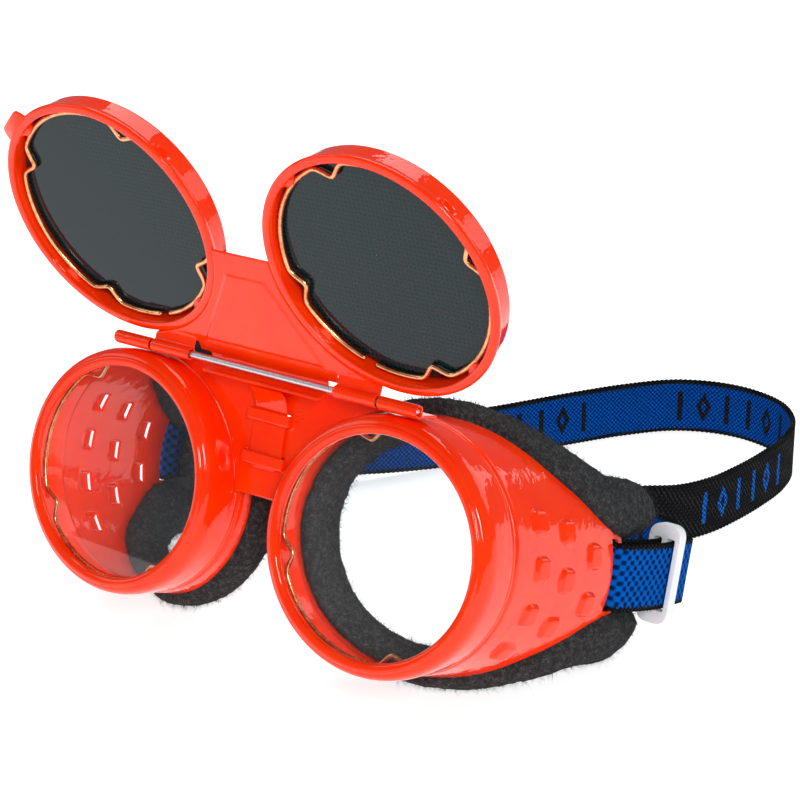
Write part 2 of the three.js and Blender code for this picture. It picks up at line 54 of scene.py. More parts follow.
LENS_T = 2
BEZEL_R = 27.3
BEZEL_DEPTH = 11.5
SHEET = 0.7
GAP = 0.3
SHIELD_FLARE = 1.7
SHIELD_DROP = 4
SHIELD_OUT = 1.35
SHIELD_RUN = 40
TONGUE_LIFT = 2
HINGE_Y = 1.64
HINGE_Z = 29.36
KNUCKLE_END = 40.4
ROD_R = 0.72
CLOSED_GAP = 0.6
FILTER_CUP_DEPTH = 7.4
FILTER_T = 3
BAR_DEPTH = 53.4
STRAP_W = 15
STRAP_T = 1.3
ENDS = (58, 362)                # where along the strap its slack ends stop and start
CUP_TOE = math.radians(1.9)
LEAN = math.radians(16)
OPEN_ANGLE = math.radians(145.7)

MM = 0.001
BEZEL_ROUND, LENS_ROUND, CUP_ROUND = 200, 128, 288      # steps round each turned piece
VOXEL, VOXEL_QUICK = 0.22, 0.35                         # how finely the rounded plates are remeshed
FIBRES, FIBRES_QUICK = 14000, 4000                      # loose fibres on each felt roll
DIMPLE = 1.15                   # depth of the dimples over a filter's retaining wire
SCALLOP_PITCH = 1.3             # the rubber threads that gather the webbing

# ---------------------------------------------------------------- placing
joints = {joint["name"]: joint for joint in frame["joints"]}
hinge = Vector(joints["front_hinge"]["pos_m"])
to_hinge = Matrix.Translation((0, HINGE_Y, HINGE_Z))
leaned_back = Matrix.Translation(hinge) @ Matrix.Rotation(-LEAN, 4, "X")
cup_axes = leaned_back @ Matrix.Scale(MM, 4) @ to_hinge.inverted()
raised_axes = cup_axes @ to_hinge @ Matrix.Rotation(-OPEN_ANGLE, 4, "X") @ to_hinge.inverted()
table_axes = Matrix.Translation(cup_axes.translation) @ Matrix.Scale(MM, 4)


def lens_seat(side):
    """Axes of one clear lens, turned outwards with its cup but not mirrored."""
    turn = Matrix.Rotation(side * CUP_TOE, 4, "Z")
    return cup_axes @ Matrix.Translation((side * LENS_SPACING / 2, 0, 0)) @ turn


def eye_seat(side):
    """Axes of one eye cup, drawn for the right-hand side and mirrored for the left."""
    return lens_seat(side) @ Matrix.Diagonal((side, 1, 1, 1))


def filter_seat(side):
    return raised_axes @ Matrix.Translation((side * LENS_SPACING / 2, 0, 0))


# ---------------------------------------------------------------- camera, floor and light
def aim(obj, target):
    obj.rotation_euler = (Vector(target) - obj.location).to_track_quat("-Z", "Y").to_euler()


def make_camera():
    data = bpy.data.cameras.new("camera")
    data.sensor_width = 36
    data.lens = 102.0
    data.clip_start = 0.01
    camera = bpy.data.objects.new("camera", data)
    camera.location = hinge + Vector((0.28231, -0.34597, 0.16319))
    tilt, pan = math.radians(90 - 20.82), math.radians(35.5)
    camera.rotation_euler = (tilt, 0, pan)
    bpy.context.scene.collection.objects.link(camera)
    bpy.context.scene.camera = camera


def softbox(name, direction, distance, size, power):
    data = bpy.data.lights.new(name, "AREA")
    data.shape = "RECTANGLE"
    data.size, data.size_y = size
    data.energy = power
    lamp = bpy.data.objects.new(name, data)
    centre = Vector((0, 0, 0.05))
    lamp.location = centre + Vector(direction).normalized() * distance
    aim(lamp, centre)
    bpy.context.scene.collection.objects.link(lamp)


def make_studio():
    world = bpy.data.worlds.new("studio")
    bpy.context.scene.world = world
    world.use_nodes = True
    nodes, links = world.node_tree.nodes, world.node_tree.links
    seen, fill = nodes["Background"], nodes.new("ShaderNodeBackground")
    seen.inputs["Color"].default_value = (1, 1, 1, 1)
    fill.inputs["Color"].default_value = (0.9, 0.95, 1, 1)
    fill.inputs["Strength"].default_value = 0.22
    rays, mix = nodes.new("ShaderNodeLightPath"), nodes.new("ShaderNodeMixShader")
    links.new(rays.outputs["Is Camera Ray"], mix.inputs["Fac"])
    links.new(fill.outputs["Background"], mix.inputs[1])
    links.new(seen.outputs["Background"], mix.inputs[2])
    links.new(mix.outputs["Shader"], nodes["World Output"].inputs["Surface"])
    softbox("key", (0.62, -0.66, 0.46), 1.1, (0.12, 0.3), 5.2)
    softbox("top", (-0.25, 0.35, 1.0), 0.9, (0.75, 0.6), 4.2)
    softbox("left_fill", (-1.0, -0.55, 0.6), 1.2, (0.5, 0.7), 1.8)
    softbox("rear", (0.5, 1.0, 0.45), 1.2, (0.8, 0.4), 1.6)
    bpy.context.scene.view_settings.view_transform = "Standard"


def make_floor():
    bpy.ops.mesh.primitive_plane_add(size=3.0, location=(0, 0, 0))
    floor = bpy.context.object
    floor.name = "floor"
    material = bpy.data.materials.new("floor")
    material.use_nodes = True
    shader = material.node_tree.nodes["Principled BSDF"]
    shader.inputs["Base Color"].default_value = (0.86, 0.87, 0.88, 1)
    shader.inputs["Roughness"].default_value = 0.6
    shader.inputs["Emission Color"].default_value = (1, 1, 1, 1)
    shader.inputs["Emission Strength"].default_value = 0.7
    floor.data.materials.append(material)


make_camera()
make_studio()
make_floor()


# ---------------------------------------------------------------- mesh helpers
def quads(rows, cols, wrap_rows, wrap_cols):
    i = np.arange(rows if wrap_rows else rows - 1)
    j = np.arange(cols if wrap_cols else cols - 1)
    i, j = np.meshgrid(i, j, indexing="ij")
    i2, j2 = (i + 1) % rows, (j + 1) % cols
    return np.stack([i * cols + j, i * cols + j2, i2 * cols + j2, i2 * cols + j], -1).reshape(-1, 4)


def new_object(name, points, faces, place=None):
    data = bpy.data.meshes.new(name)
    data.from_pydata(np.asarray(points, float).reshape(-1, 3).tolist(), [], [list(f) for f in faces])
    if place is not None:
        data.transform(place)
    obj = bpy.data.objects.new(name, data)
    bpy.context.scene.collection.objects.link(obj)
    return obj


def add_modifier(obj, kind, **settings):
    modifier = obj.modifiers.new(kind.lower(), kind)
    for key, value in settings.items():
        setattr(modifier, key, value)
    return modifier


def apply_modifiers(obj):
    graph = bpy.context.evaluated_depsgraph_get()
    data = bpy.data.meshes.new_from_object(obj.evaluated_get(graph))
    obj.modifiers.clear()
    old, obj.data = obj.data, data
    bpy.data.meshes.remove(old)
    return obj


def settle(obj, crease=40, merge=1e-7):
    """Merges doubles, turns every face outwards, and smooths all but the creases."""
    mesh = bmesh.new()
    mesh.from_mesh(obj.data)
    bmesh.ops.remove_doubles(mesh, verts=mesh.verts, dist=merge)
    bmesh.ops.dissolve_degenerate(mesh, edges=mesh.edges, dist=merge)
    bmesh.ops.recalc_face_normals(mesh, faces=mesh.faces)
    for face in mesh.faces:
        face.smooth = True
    limit = math.radians(crease)
    for edge in mesh.edges:
        edge.smooth = len(edge.link_faces) == 2 and edge.calc_face_angle(0) < limit
    mesh.to_mesh(obj.data)
    mesh.free()
    return obj


def finish_piece(obj, material, body, replaced=None):
    obj.data.materials.clear()
    for each in material if isinstance(material, (list, tuple)) else [material]:
        obj.data.materials.append(each)
    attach(obj, body)
    if replaced:
        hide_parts(replaced)
    return obj


def soften(outline, cut, steps=4):
    """Rounds every corner of a closed outline. cut is how far from the corner the rounding starts."""
    points = np.asarray(outline, float)
    out = []
    for k, corner in enumerate(points):
        before, after = points[k - 1] - corner, points[(k + 1) % len(points)] - corner
        reach = [min(cut, 0.48 * np.linalg.norm(side)) / np.linalg.norm(side) for side in (before, after)]
        a, b = corner + before * reach[0], corner + after * reach[1]
        for t in np.linspace(0, 1, steps + 1):
            out.append((1 - t) ** 2 * a + 2 * t * (1 - t) * corner + t * t * b)
    return np.array(out)


def lathe(profile, segments):
    """Points of a closed [radius, y] profile turned about the cup's axis, one row for each angle."""
    turn = np.linspace(0, 2 * math.pi, segments, endpoint=False)
    r, y = np.asarray(profile, float).T
    depth = np.broadcast_to(y, (segments, len(y)))
    return np.stack([np.outer(np.cos(turn), r), depth, np.outer(np.sin(turn), r)], -1)


def centripetal(points, steps):
    """A smooth curve through the points, with as many steps for each span."""
    p = np.asarray(points, float)
    p = np.vstack([2 * p[0] - p[1], p, 2 * p[-1] - p[-2]])
    t = np.linspace(0, 1, steps, endpoint=False)[:, None]
    spans = []
    for a, b, c, d in zip(p[:-3], p[1:-2], p[2:-1], p[3:]):
        da, db, dc = (math.sqrt(np.linalg.norm(w - v)) for v, w in ((a, b), (b, c), (c, d)))
        m = ((b - a) / da - (c - a) / (da + db) + (c - b) / db) * db
        n = ((c - b) / db - (d - b) / (db + dc) + (d - c) / dc) * db
        spans.append(b + m * t + (3 * c - 3 * b - 2 * m - n) * t**2 + (2 * b - 2 * c + m + n) * t**3)
    return np.vstack(spans + [p[-2:-1]])


def sweep(path, radius, sides=12, closed=False):
    """A round bar along a path, with domed ends: returns points and faces."""
    path = np.asarray(path, float)
    tangent = np.gradient(path, axis=0)
    tangent /= np.linalg.norm(tangent, axis=1)[:, None]
    normal = np.cross(tangent[0], (0.31, 0.87, 0.38))
    rings = []
    turn = np.linspace(0, 2 * math.pi, sides, endpoint=False)
    if not closed:
        dome = [(-1.0, 0.05), (-0.85, 0.53), (-0.5, 0.87)]
        path = np.vstack([path[:1] + tangent[:1] * a * radius for a, _ in dome] + [path]
                         + [path[-1:] - tangent[-1:] * a * radius for a, _ in reversed(dome)])
        tangent = np.vstack([tangent[:1]] * 3 + [tangent] + [tangent[-1:]] * 3)
        scale = [s for _, s in dome] + [1] * (len(path) - 6) + [s for _, s in reversed(dome)]
    else:
        scale = [1] * len(path)
    for point, along, size in zip(path, tangent, scale):
        normal = normal - along * np.dot(normal, along)
        normal /= np.linalg.norm(normal)
        side = np.cross(along, normal)
        rings.append(point + radius * size * (np.outer(np.cos(turn), normal) + np.outer(np.sin(turn), side)))
    faces = [tuple(f) for f in quads(len(rings), sides, closed, True)]
    if not closed:
        last = (len(rings) - 1) * sides
        faces.append(tuple(range(sides)))
        faces.append(tuple(last + k for k in reversed(range(sides))))
    return np.array(rings).reshape(-1, 3), faces


def smoothstep(x, low, high):
    t = np.clip((np.asarray(x, float) - low) / (high - low), 0, 1)
    return t * t * (3 - 2 * t)


# ---------------------------------------------------------------- material helpers
class Nodes:
    """Builds a material: each method adds one node and returns its main output."""

    def __init__(self, name):
        self.material = bpy.data.materials.new(name)
        self.material.use_nodes = True
        self.tree = self.material.node_tree
        self.shader = self.tree.nodes["Principled BSDF"]

    def set(self, **values):
        for key, value in values.items():
            self.shader.inputs[key.replace("_", " ")].default_value = value
        return self

    def feed(self, target, value):
        if isinstance(value, bpy.types.NodeSocket):
            self.tree.links.new(value, target)
        elif value is not None:
            target.default_value = value

    def math(self, operation, a, b=None, c=None, clamp=False):
        node = self.tree.nodes.new("ShaderNodeMath")
        node.operation = operation
        node.use_clamp = clamp
        for socket, value in zip(node.inputs, (a, b, c)):
            self.feed(socket, value)
        return node.outputs[0]

    def noise(self, vector, scale, detail=3, roughness=0.5):
        node = self.tree.nodes.new("ShaderNodeTexNoise")
        self.feed(node.inputs["Vector"], vector)
        node.inputs["Scale"].default_value = scale
        node.inputs["Detail"].default_value = detail
        node.inputs["Roughness"].default_value = roughness
        return node.outputs["Fac"]

    def ramp(self, factor, stops):
        node = self.tree.nodes.new("ShaderNodeValToRGB")
        elements = node.color_ramp.elements
        while len(elements) < len(stops):
            elements.new(0.5)
        for element, (position, color) in zip(elements, stops):
            element.position = position
            element.color = (*color, 1)
        self.feed(node.inputs["Fac"], factor)
        return node.outputs["Color"]

    def mix(self, factor, a, b):
        node = self.tree.nodes.new("ShaderNodeMix")
        node.data_type = "RGBA"
        self.feed(node.inputs[0], factor)
        self.feed(node.inputs[6], (*a, 1) if isinstance(a, tuple) else a)
        self.feed(node.inputs[7], (*b, 1) if isinstance(b, tuple) else b)
        return node.outputs[2]

    def bump(self, height, strength, distance, normal=None):
        node = self.tree.nodes.new("ShaderNodeBump")
        node.inputs["Strength"].default_value = strength
        node.inputs["Distance"].default_value = distance
        self.feed(node.inputs["Height"], height)
        self.feed(node.inputs["Normal"], normal)
        return node.outputs["Normal"]

    def place(self):
        """Position on the object, in millimetres. It moves with the piece."""
        coordinates = self.tree.nodes.new("ShaderNodeTexCoord")
        scale = self.tree.nodes.new("ShaderNodeVectorMath")
        scale.operation = "SCALE"
        scale.inputs["Scale"].default_value = 1000
        self.tree.links.new(coordinates.outputs["Object"], scale.inputs[0])
        return scale.outputs[0]

    def uv(self):
        """Both parts of the piece's UV map, which is in millimetres."""
        coordinates = self.tree.nodes.new("ShaderNodeUVMap")
        coordinates.uv_map = "mm"
        split = self.tree.nodes.new("ShaderNodeSeparateXYZ")
        self.tree.links.new(coordinates.outputs["UV"], split.inputs[0])
        return split.outputs[0], split.outputs[1]

    def link(self, name, value):
        self.feed(self.shader.inputs[name], value)
        return self


def enamel_material():
    m = Nodes("orange_red_enamel")
    place = m.place()
    blotch = m.noise(place, 0.12, 2)
    speck = m.noise(place, 1.9, 3, 0.6)
    m.link("Base Color", m.ramp(blotch, [(0.3, (1.0, 0.028, 0.0)), (0.7, (1.0, 0.042, 0.0))]))
    m.link("Roughness", m.math("MULTIPLY_ADD", speck, 0.05, 0.02))
    ripple = m.noise(place, 0.35, 2)
    m.link("Normal", m.bump(ripple, 0.3, 0.0004, m.bump(speck, 0.04, 0.00005)))
    m.set(Specular_IOR_Level=0.36)
    return m.material


def steel_material():
    m = Nodes("drawn_steel")
    place = m.place()
    pits = m.noise(place, 3.0, 5, 0.7)
    m.link("Base Color", m.ramp(pits, [(0.3, (0.42, 0.43, 0.46)), (0.65, (0.78, 0.79, 0.82))]))
    m.link("Roughness", m.math("MULTIPLY_ADD", pits, 0.3, 0.2))
    m.link("Normal", m.bump(pits, 0.3, 0.0001))
    m.set(Metallic=1.0)
    return m.material


def copper_material():
    m = Nodes("copper_wire")
    place = m.place()
    tarnish = m.noise(place, 0.5, 4, 0.6)
    stops = [(0.3, (0.55, 0.22, 0.09)), (0.55, (0.86, 0.43, 0.2)), (0.8, (0.93, 0.56, 0.33))]
    m.link("Base Color", m.ramp(tarnish, stops))
    m.link("Roughness", m.math("MULTIPLY_ADD", tarnish, 0.2, 0.16))
    m.link("Normal", m.bump(m.noise(place, 6, 3), 0.15, 0.00005))
    m.set(Metallic=1.0)
    return m.material


def felt_material():
    m = Nodes("black_felt")
    place = m.place()
    clump = m.noise(place, 0.9, 5, 0.75)
    hair = m.noise(place, 4.5, 4, 0.7)
    tone = m.math("MULTIPLY_ADD", hair, 0.55, m.math("MULTIPLY", clump, 0.45))
    stops = [(0.38, (0.004, 0.004, 0.005)), (0.5, (0.022, 0.023, 0.024)), (0.6, (0.13, 0.132, 0.135))]
    m.link("Base Color", m.ramp(tone, stops))
    m.link("Normal", m.bump(tone, 1.0, 0.0012))
    m.set(Roughness=1.0, Specular_IOR_Level=0.0, Sheen_Weight=0.1, Sheen_Roughness=0.6)
    return m.material


def clear_glass_material():
    m = Nodes("clear_glass")
    m.set(Base_Color=(0.94, 0.98, 0.975, 1), Roughness=0.0, IOR=1.5, Transmission_Weight=1.0)
    nodes, links = m.tree.nodes, m.tree.links
    smear = m.noise(m.place(), 0.2, 4, 0.6)
    m.link("Roughness", m.math("MULTIPLY", smear, 0.02))
    rays, mix = nodes.new("ShaderNodeLightPath"), nodes.new("ShaderNodeMixShader")
    through = nodes.new("ShaderNodeBsdfTransparent")
    through.inputs["Color"].default_value = (0.93, 0.96, 0.955, 1)
    links.new(rays.outputs["Is Shadow Ray"], mix.inputs["Fac"])
    links.new(m.shader.outputs[0], mix.inputs[1])
    links.new(through.outputs[0], mix.inputs[2])
    links.new(mix.outputs[0], nodes["Material Output"].inputs["Surface"])
    return m.material


def dark_glass_material():
    m = Nodes("dark_filter_glass")
    u, v = m.uv()
    pitch = 1.05
    across = m.math("COSINE", m.math("MULTIPLY", u, 2 * math.pi / pitch))
    up = m.math("COSINE", m.math("MULTIPLY", v, 2 * math.pi / pitch))
    dots = m.math("MULTIPLY_ADD", m.math("ADD", across, up), 0.6, -0.25, clamp=True)
    m.link("Base Color", m.mix(dots, (0.006, 0.018, 0.021), (0.0, 0.004, 0.006)))
    m.set(Roughness=0.03, Specular_IOR_Level=0.27)
    m.link("Normal", m.bump(dots, 0.06, 0.00003))
    return m.material


def webbing_material(blue_side):
    """Elastic webbing. The blue side is knobbly, the black side is a coarse twill. Both carry the motif."""
    m = Nodes("webbing_blue" if blue_side else "webbing_black")
    u, v = m.uv()
    place = m.place()
    wander = m.math("MULTIPLY_ADD", m.noise(place, 0.6, 2), 0.8, -0.4)
    u = m.math("ADD", u, wander)
    edge = m.math("ABSOLUTE", v)

    def knobs(along, rib, sharpness=1.6, level=0.6):
        ring = m.math("COSINE", m.math("MULTIPLY", u, 2 * math.pi / along))
        row = m.math("COSINE", m.math("MULTIPLY", v, 2 * math.pi / rib))
        return m.math("MULTIPLY_ADD", m.math("MULTIPLY", ring, row), sharpness, level, clamp=True)

    # The slack double layers at both ends show large knobs, and the stretch between them small ones.
    middle = m.math("MULTIPLY", m.math("GREATER_THAN", u, ENDS[0]), m.math("LESS_THAN", u, ENDS[1]))
    knob = m.math("ADD", m.math("MULTIPLY", knobs(1.25, 1.25), middle),
                  m.math("MULTIPLY", knobs(2.3, 2.3, 1.05, 0.8), m.math("SUBTRACT", 1.0, middle)))
    slant = m.math("ADD", u, m.math("MULTIPLY", v, 0.8))
    thread = m.math("SINE", m.math("MULTIPLY", slant, 2 * math.pi / 1.2))
    thread = m.math("MULTIPLY", m.math("MULTIPLY_ADD", thread, 0.5, 0.5), knobs(1.3, 1.9))
    # A generic woven motif in groups: a diamond between upright dashes, then a plain stretch.
    in_group = m.math("FLOORED_MODULO", u, 62.0)
    group = m.math("LESS_THAN", in_group, 40.0)
    repeat = m.math("SUBTRACT", m.math("FLOORED_MODULO", in_group, 20.0), 10.0)
    diamond = m.math("ADD", m.math("DIVIDE", m.math("ABSOLUTE", repeat), 2.0), m.math("DIVIDE", edge, 4.4))
    diamond = m.math("MULTIPLY", m.math("LESS_THAN", diamond, 1.0), m.math("GREATER_THAN", diamond, 0.4))
    dash = m.math("ABSOLUTE", m.math("SUBTRACT", m.math("ABSOLUTE", repeat), 6.6))
    dash = m.math("MULTIPLY", m.math("LESS_THAN", dash, 0.7), m.math("LESS_THAN", edge, 4.2))
    motif = m.math("MULTIPLY", m.math("MULTIPLY", m.math("MAXIMUM", diamond, dash), group), middle)
    fray = m.math("MULTIPLY_ADD", m.math("COSINE", m.math("MULTIPLY", u, 2 * math.pi / 1.3)), 0.3, 6.35)
    selvedge = m.math("GREATER_THAN", edge, fray)
    fluff = m.noise(place, 5, 4, 0.7)
    if blue_side:
        # Painted shade and painted highlight on the blue side: each knob's top is painted lighter and the
        # hollows between knobs darker, over the blue yarn's own colour. The black motif is painted the same
        # way.
        lit = m.mix(knob, (0.0, 0.02, 0.12), (0.0, 0.095, 0.47))
        loose_knobs_lit_and_shaded = m.mix(knob, (0.0, 0.012, 0.07), (0.0, 0.105, 0.5))
        yarn_and_crest_highlight = m.mix(middle, loose_knobs_lit_and_shaded, lit)
        motif_yarn_and_crest_highlight = m.mix(knob, (0.003, 0.004, 0.006), (0.02, 0.022, 0.026))
        height = knob
    else:
        # Painted highlight on the black side: the twill's thread crests are painted charcoal over the black
        # yarn, and the blue motif is painted lighter on its knob tops.
        yarn_and_crest_highlight = m.mix(thread, (0.005, 0.005, 0.006), (0.036, 0.037, 0.038))
        motif_yarn_and_crest_highlight = m.mix(knob, (0.003, 0.03, 0.16), (0.01, 0.17, 0.7))
        height = m.math("MAXIMUM", m.math("MULTIPLY", thread, 0.8), m.math("MULTIPLY", knob, motif))
    # The black selvedge is painted lighter on its thread crests, a painted highlight over its own black.
    edging_and_crest_highlight = m.mix(thread, (0.004, 0.004, 0.005), (0.03, 0.03, 0.028))
    color = m.mix(selvedge, m.mix(motif, yarn_and_crest_highlight, motif_yarn_and_crest_highlight), edging_and_crest_highlight)
    shade = m.ramp(fluff, [(0.3, (0.75, 0.75, 0.75)), (0.7, (1.15, 1.15, 1.15))])
    blend = m.tree.nodes.new("ShaderNodeMix")
    blend.data_type = "RGBA"
    blend.blend_type = "MULTIPLY"
    blend.inputs[0].default_value = 1.0
    m.feed(blend.inputs[6], color)
    m.feed(blend.inputs[7], shade)
    m.link("Base Color", blend.outputs[2])
    m.link("Normal", m.bump(height, 1.0, 0.0005, m.bump(fluff, 0.4, 0.0001)))
    m.set(Roughness=0.9, Specular_IOR_Level=0.04)
    return m.material


def plastic_material():
    m = Nodes("white_nylon")
    place = m.place()
    cloud = m.noise(place, 0.4, 3)
    m.link("Base Color", m.ramp(cloud, [(0.3, (0.80, 0.82, 0.86)), (0.7, (0.88, 0.89, 0.92))]))
    m.link("Roughness", m.math("MULTIPLY_ADD", m.noise(place, 2.5, 3), 0.15, 0.3))
    m.link("Normal", m.bump(m.noise(place, 1.5, 3), 0.1, 0.0001))
    m.set(Subsurface_Weight=0.2, Subsurface_Scale=0.002)
    return m.material


ENAMEL = enamel_material()
STEEL = steel_material()
COPPER = copper_material()
FELT = felt_material()
CLEAR = clear_glass_material()
DARK = dark_glass_material()
BLUE = webbing_material(True)
BLACK = webbing_material(False)
WHITE = plastic_material()


# ---------------------------------------------------------------- eye cups
EDGE = centripetal([
    (0, 52.3), (14, 52.3), (18.5, 51), (23, 46.9), (33, 40.5), (45, 33.6), (59, 29), (77, 24.6),
    (100, 20.5), (135, 16.8), (180, 15.4),
], 12)
VENT_ROWS = [(21.8, (-40, -19.5, 1.5, 21.5)), (32.0, (-25, -3, 17.5)), (42.2, (-13, 8))]
VENT_HALF = 2.75
VENT_RISE = 1.25
VENT_SLIT = (1.7, 1.95)
DEG = BEZEL_R * math.pi / 180


def edge_depth(angle):
    return np.interp(np.abs(angle), EDGE[:, 0], EDGE[:, 1])


def shield_point(y, angle, off):
    """A point of the right-hand shield at a depth and an angle in degrees. off is how far off its skin."""
    grown = np.clip((y - BEZEL_DEPTH) / SHIELD_RUN, 0, 1.3)
    r = BEZEL_R + SHIELD_FLARE * grown + off
    a = np.radians(angle + TONGUE_LIFT)
    return np.stack([r * np.cos(a) + SHIELD_OUT * grown, y + 0 * a, r * np.sin(a) - SHIELD_DROP * grown], -1)


def vent_height(y, angle):
    """Height of the pressed vents: each rises towards its rear, where the sheet is slit."""
    height = np.zeros(np.broadcast(y, angle).shape)
    for depth, angles in VENT_ROWS:
        for middle in angles:
            u, v = (angle - middle) * DEG / VENT_HALF, (y - depth) / VENT_HALF
            reach = (np.abs(u) ** 4 + np.abs(v) ** 4) ** 0.25
            lift = VENT_RISE * smoothstep(1 - reach, 0, 0.36) * (0.72 + 0.28 * np.clip(v + 0.6, 0, 1))
            height = np.maximum(height, np.where(y - depth < sum(VENT_SLIT) / 2, lift, 0))
    return height


def eye_cup(side):
    tag = "left" if side < 0 else "right"
    per_degree = (BEZEL_R + SHIELD_FLARE) * math.pi / 180
    leg_out, leg_in = (STRAP_W / 2 + 1.6) / per_degree, (STRAP_W / 2 + 0.6) / per_degree
    fine = np.arange(-48, 30, 0.5)
    coarse = np.concatenate([np.arange(-180, -48, 2.4), np.arange(30, 180, 2.4)])
    angles = np.unique(np.round(np.concatenate([fine, coarse, [-leg_out, leg_out, -leg_in, leg_in]]), 4))
    neck = [(y, -1.65) for y in (2.8, 3.0, 6, 9, 11.2)]
    shoulder = [(11.75, -1.6), (12.0, -1.4), (12.1, -1.0), (12.2, -0.6), (12.45, -0.38)]
    rows = list(np.arange(13, 54, 0.8)) + [BAR_DEPTH - 3.2, BAR_DEPTH - 0.7, BAR_DEPTH + 0.7]
    for depth, _ in VENT_ROWS:
        rows = [y for y in rows if abs(y - depth) > VENT_HALF + 0.2]
        rows += list(depth + np.linspace(-VENT_HALF - 0.1, VENT_SLIT[0], 19))
        rows += [depth + VENT_SLIT[1], depth + VENT_HALF + 0.1]
    rows = np.unique(np.round(rows, 4))
    y = np.concatenate([[r[0] for r in neck + shoulder], rows])
    off = np.concatenate([[r[1] for r in neck + shoulder], np.full(len(rows), -SHEET / 2)])
    rear = np.where(np.abs(angles) <= leg_out + 1e-3, BAR_DEPTH + 0.7, edge_depth(angles))
    depth = np.minimum(y[None, :], rear[:, None])
    lift = vent_height(depth, angles[:, None])
    lift[:, :len(neck) + len(shoulder)] = 0
    points = shield_point(depth, angles[:, None], off[None, :] + lift)
    faces = quads(len(angles), len(y), True, False)
    flat_lift, flat_y, flat_angle = lift.ravel(), depth.ravel(), np.repeat(angles, len(y))
    middle_y, middle_a = flat_y[faces].mean(1), flat_angle[faces].mean(1)
    at_slit = np.min([np.abs(middle_y - depth - sum(VENT_SLIT) / 2) for depth, _ in VENT_ROWS], axis=0) < 0.05
    torn = at_slit & (np.ptp(flat_lift[faces], axis=1) > 0.2)
    slot = (np.abs(middle_a) < leg_in) & (middle_y > BAR_DEPTH - 3.2) & (middle_y < BAR_DEPTH - 0.7)
    keep = ~(torn | slot)
    obj = new_object(f"{tag}_eye_cup_shell", points, faces[keep], eye_seat(side))
    settle(obj, 180, 2e-6)
    add_modifier(obj, "SOLIDIFY", thickness=SHEET * MM, offset=0, use_even_offset=True)
    apply_modifiers(obj)
    settle(obj, 50)
    finish_piece(obj, ENAMEL, "frame", f"{tag}_eye_cup")


# ---------------------------------------------------------------- lens bezels, lenses, filter cups, filters
BEZEL_PROFILE = [
    (23.25, 1.7), (23.25, 0.9), (23.55, 0.35), (24.1, 0.06), (24.75, 0.0), (25.15, 0.14), (25.38, 0.42),
    (25.62, 0.5), (26.15, 0.78), (26.7, 1.5), (27.08, 2.5), (27.28, 3.8), (BEZEL_R, 5.5), (BEZEL_R, 10.1),
    (27.22, 10.3),
    (27.34, 10.5), (27.42, 10.95), (27.3, 11.4), (27.05, BEZEL_DEPTH), (26.6, BEZEL_DEPTH), (26.6, 2.6),
    (26.2, 2.35), (23.5, 2.1),
]


def lens_bezel(side):
    tag = "left" if side < 0 else "right"
    profile = soften(BEZEL_PROFILE, 0.4, 3)
    faces = quads(BEZEL_ROUND, len(profile), True, True)
    obj = new_object(f"{tag}_bezel_ring", lathe(profile, BEZEL_ROUND), faces, eye_seat(side))
    finish_piece(settle(obj), ENAMEL, "frame", f"{tag}_lens_bezel")


def glass_disc(name, radius, front, back, place):
    """A round lens with ground edges, and a UV map in millimetres across it."""
    bevel = 0.25
    rings = [(r, front) for r in np.linspace(0.01, radius - bevel, 14)]
    rings += [(radius, front + bevel), (radius, back - bevel)]
    rings += [(r, back) for r in np.linspace(radius - bevel, 0.01, 14)]
    points = lathe(rings, LENS_ROUND)
    faces = [tuple(f) for f in quads(LENS_ROUND, len(rings), True, False)]
    faces.append(tuple(k * len(rings) for k in range(LENS_ROUND)))
    faces.append(tuple((k + 1) * len(rings) - 1 for k in reversed(range(LENS_ROUND))))
    obj = new_object(name, points, faces)
    layer = obj.data.uv_layers.new(name="mm")
    where = np.array([obj.data.vertices[loop.vertex_index].co[:] for loop in obj.data.loops])
    layer.data.foreach_set("uv", where[:, [0, 2]].ravel())
    obj.data.transform(place)
    return settle(obj, 30)


LENS_FRONT = 2.4
FILTER_BACK = -CLOSED_GAP - FILTER_CUP_DEPTH + 0.8 + GAP + FILTER_T


def filter_cup(side):
    tag = "left" if side < 0 else "right"
    rim, front = -CLOSED_GAP, -CLOSED_GAP - FILTER_CUP_DEPTH
    wall = 25.8
    rows = [rim - 2.2 - k * 0.55 for k in range(8)]
    profile = [(wall, rim - 0.25), (26.0, rim - 0.06), (26.5, rim), (27.4, rim - 0.08)]
    profile += [(27.78, rim - 0.4), (27.78, rim - 0.95), (27.4, rim - 1.6)]
    profile += [(27.3 - 0.09 * k, y) for k, y in enumerate(rows)]
    profile += [(26.5, front + 1.7), (26.1, front + 0.8), (25.4, front + 0.2)]
    profile += [(24.2, front), (22.9, front), (22.8, front + 0.4)]
    profile += [(22.9, front + 0.8), (25.2, front + 0.85), (wall, front + 1.3)]
    profile += [(wall, y) for y in reversed(rows)] + [(wall, rim - 1.4)]
    profile = soften(profile, 0.35, 3)
    points = lathe(profile, CUP_ROUND)
    turn = np.degrees(np.linspace(0, 2 * math.pi, CUP_ROUND, endpoint=False))
    # Four dimples are pressed in behind the rim, over the retaining wire.
    near = np.abs((turn % 90) - 45)[:, None]
    y = points[:, :, 1]
    depth = DIMPLE * (1 - smoothstep(near, 2.0, 4.6)) * smoothstep(y, rim - 3.3, rim - 2.4)
    depth = depth * (1 - smoothstep(y, rim - 1.6, rim - 0.9))
    radius = np.hypot(points[:, :, 0], points[:, :, 2])
    for axis in (0, 2):
        points[:, :, axis] *= 1 - depth / radius
    faces = quads(CUP_ROUND, len(profile), True, True)
    obj = new_object(f"{tag}_filter_ring", points, faces, filter_seat(side))
    settle(obj)
    if side < 0:
        add_tab(obj, rim)
    finish_piece(obj, ENAMEL, "front", f"{tag}_filter_cup")


